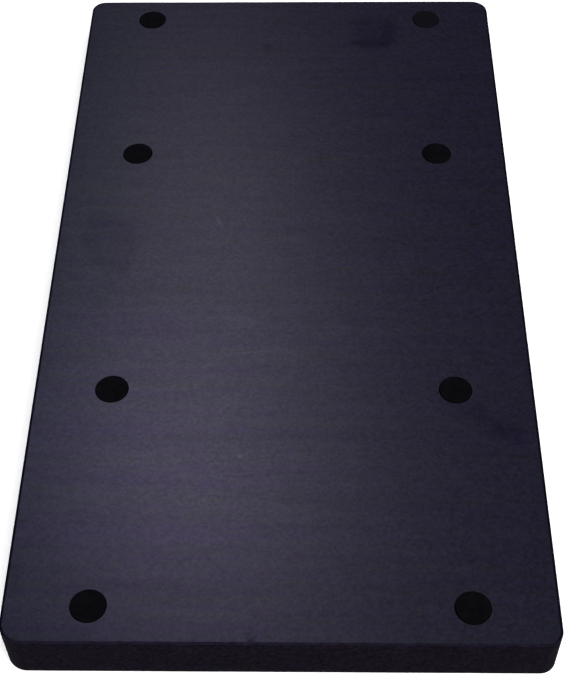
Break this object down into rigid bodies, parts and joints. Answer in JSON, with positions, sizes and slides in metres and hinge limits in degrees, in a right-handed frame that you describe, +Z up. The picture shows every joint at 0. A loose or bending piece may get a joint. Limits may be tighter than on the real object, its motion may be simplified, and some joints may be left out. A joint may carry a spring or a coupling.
{
  "type": "granite tooling slab",
  "caption": "Flat rectangular granite slab for leather tooling, with eased edges and round rubber feet set in blind sockets on its underside.",
  "frame": {"origin": "centre of the polished work face, on the plane that the slab lies on when its feet are uppermost", "axes": "+Z is up, from the work face through the stone to the feet; +Y runs along the length towards the rear pair of feet; +X runs across the width to the right"},
  "size_m": [0.254, 0.4572, 0.029],
  "materials": {
    "granite": "honed black granite, fine-grained, with a dull soft sheen",
    "rubber": "matte black moulded rubber",
    "adhesive": "cured dark construction adhesive, dull"
  },
  "bodies": {
    "root": {"slab": "granite", "foot_front_left": "rubber", "foot_front_right": "rubber", "foot_front_middle_left": "rubber", "foot_front_middle_right": "rubber", "foot_rear_middle_left": "rubber", "foot_rear_middle_right": "rubber", "foot_rear_left": "rubber", "foot_rear_right": "rubber", "adhesive_front_left": "adhesive", "adhesive_front_right": "adhesive", "adhesive_front_middle_left": "adhesive", "adhesive_front_middle_right": "adhesive", "adhesive_rear_middle_left": "adhesive", "adhesive_rear_middle_right": "adhesive", "adhesive_rear_left": "adhesive", "adhesive_rear_right": "adhesive"}
  },
  "joints": []
}
